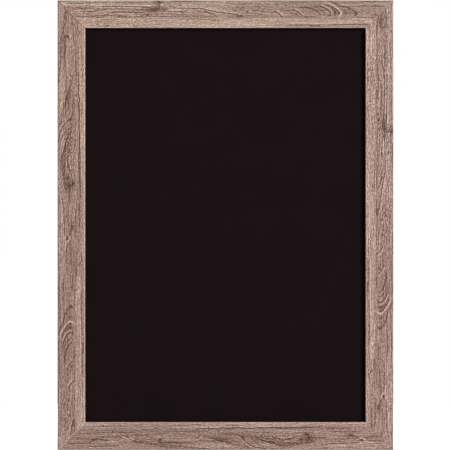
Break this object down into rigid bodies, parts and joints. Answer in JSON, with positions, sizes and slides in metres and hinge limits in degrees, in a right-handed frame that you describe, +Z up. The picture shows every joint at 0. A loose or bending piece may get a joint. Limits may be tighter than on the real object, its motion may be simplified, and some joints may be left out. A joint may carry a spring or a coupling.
{
  "type": "framed chalkboard",
  "caption": "Black writing board in a flat, mitred, oak-print frame, with a backing held by turn buttons and rings to hang it upright or sideways.",
  "frame": {"origin": "the point of the wall behind the board's centre, in the plane that the bumpers touch", "axes": "+Z up with the long side upright as in the picture, +Y into the wall, +X to the viewer's right; the board faces -Y"},
  "size_m": [0.59, 0.025, 0.79],
  "materials": {
    "oak_foil": "grey-pink oak-print foil on fibreboard, satin",
    "black_board": "matt black chalkboard paint on hardboard",
    "brown_card": "brown corrugated card",
    "hardboard": "brown hardboard, smooth side out",
    "zinc_steel": "bright zinc plate",
    "nickel_steel": "polished nickel plate",
    "black_rubber": "moulded, matt"
  },
  "bodies": {
    "board": {"frame_rail_top": "oak_foil", "frame_stile_right": "oak_foil", "frame_rail_bottom": "oak_foil", "frame_stile_left": "oak_foil", "chalkboard_panel": "black_board", "corrugated_filler": "brown_card", "backing_board": "hardboard", "v_nail_top_left_outer": "zinc_steel", "v_nail_top_left_inner": "zinc_steel", "v_nail_top_right_outer": "zinc_steel", "v_nail_top_right_inner": "zinc_steel", "v_nail_bottom_left_outer": "zinc_steel", "v_nail_bottom_left_inner": "zinc_steel", "v_nail_bottom_right_outer": "zinc_steel", "v_nail_bottom_right_inner": "zinc_steel", "turn_button_top_left_screw": "zinc_steel", "turn_button_top_right_screw": "zinc_steel", "turn_button_right_lower_screw": "zinc_steel", "turn_button_right_upper_screw": "zinc_steel", "turn_button_bottom_left_screw": "zinc_steel", "turn_button_bottom_right_screw": "zinc_steel", "turn_button_left_lower_screw": "zinc_steel", "turn_button_left_upper_screw": "zinc_steel", "hanger_strap_top": "zinc_steel", "hanger_screw_top": "zinc_steel", "hanger_strap_right": "zinc_steel", "hanger_screw_right": "zinc_steel", "hanger_strap_bottom": "zinc_steel", "hanger_screw_bottom": "zinc_steel", "hanger_strap_left": "zinc_steel", "hanger_screw_left": "zinc_steel", "bumper_left_lower": "black_rubber", "bumper_left_upper": "black_rubber", "bumper_right_lower": "black_rubber", "bumper_right_upper": "black_rubber"},
    "button_top_left": {"turn_button_top_left": "zinc_steel"},
    "button_top_right": {"turn_button_top_right": "zinc_steel"},
    "button_right_lower": {"turn_button_right_lower": "zinc_steel"},
    "button_right_upper": {"turn_button_right_upper": "zinc_steel"},
    "button_bottom_left": {"turn_button_bottom_left": "zinc_steel"},
    "button_bottom_right": {"turn_button_bottom_right": "zinc_steel"},
    "button_left_lower": {"turn_button_left_lower": "zinc_steel"},
    "button_left_upper": {"turn_button_left_upper": "zinc_steel"},
    "ring_top": {"hanger_ring_top": "nickel_steel"},
    "ring_right": {"hanger_ring_right": "nickel_steel"},
    "ring_bottom": {"hanger_ring_bottom": "nickel_steel"},
    "ring_left": {"hanger_ring_left": "nickel_steel"}
  },
  "joints": [
    {"name": "button_top_left_turn", "type": "hinge", "parent": "board", "child": "button_top_left", "pos_m": [-0.11, -0.00415, 0.36], "axis": [0, 1, 0], "continuous": true},
    {"name": "button_top_right_turn", "type": "hinge", "parent": "board", "child": "button_top_right", "pos_m": [0.11, -0.00415, 0.36], "axis": [0, 1, 0], "continuous": true},
    {"name": "button_right_lower_turn", "type": "hinge", "parent": "board", "child": "button_right_lower", "pos_m": [0.26, -0.00415, -0.185], "axis": [0, 1, 0], "continuous": true},
    {"name": "button_right_upper_turn", "type": "hinge", "parent": "board", "child": "button_right_upper", "pos_m": [0.26, -0.00415, 0.185], "axis": [0, 1, 0], "continuous": true},
    {"name": "button_bottom_left_turn", "type": "hinge", "parent": "board", "child": "button_bottom_left", "pos_m": [-0.11, -0.00415, -0.36], "axis": [0, 1, 0], "continuous": true},
    {"name": "button_bottom_right_turn", "type": "hinge", "parent": "board", "child": "button_bottom_right", "pos_m": [0.11, -0.00415, -0.36], "axis": [0, 1, 0], "continuous": true},
    {"name": "button_left_lower_turn", "type": "hinge", "parent": "board", "child": "button_left_lower", "pos_m": [-0.26, -0.00415, -0.185], "axis": [0, 1, 0], "continuous": true},
    {"name": "button_left_upper_turn", "type": "hinge", "parent": "board", "child": "button_left_upper", "pos_m": [-0.26, -0.00415, 0.185], "axis": [0, 1, 0], "continuous": true},
    {"name": "ring_top_swing", "type": "hinge", "parent": "board", "child": "ring_top", "pos_m": [0.185, -0.00255, 0.375], "axis": [0, 0, -1], "range_deg": [0, 173.5]},
    {"name": "ring_right_swing", "type": "hinge", "parent": "board", "child": "ring_right", "pos_m": [0.275, -0.00255, 0.26], "axis": [1, 0, 0], "range_deg": [0, 173.5]},
    {"name": "ring_bottom_swing", "type": "hinge", "parent": "board", "child": "ring_bottom", "pos_m": [0.185, -0.00255, -0.375], "axis": [0, 0, -1], "range_deg": [0, 173.5]},
    {"name": "ring_left_swing", "type": "hinge", "parent": "board", "child": "ring_left", "pos_m": [-0.275, -0.00255, 0.26], "axis": [1, 0, 0], "range_deg": [0, 173.5]}
  ]
}
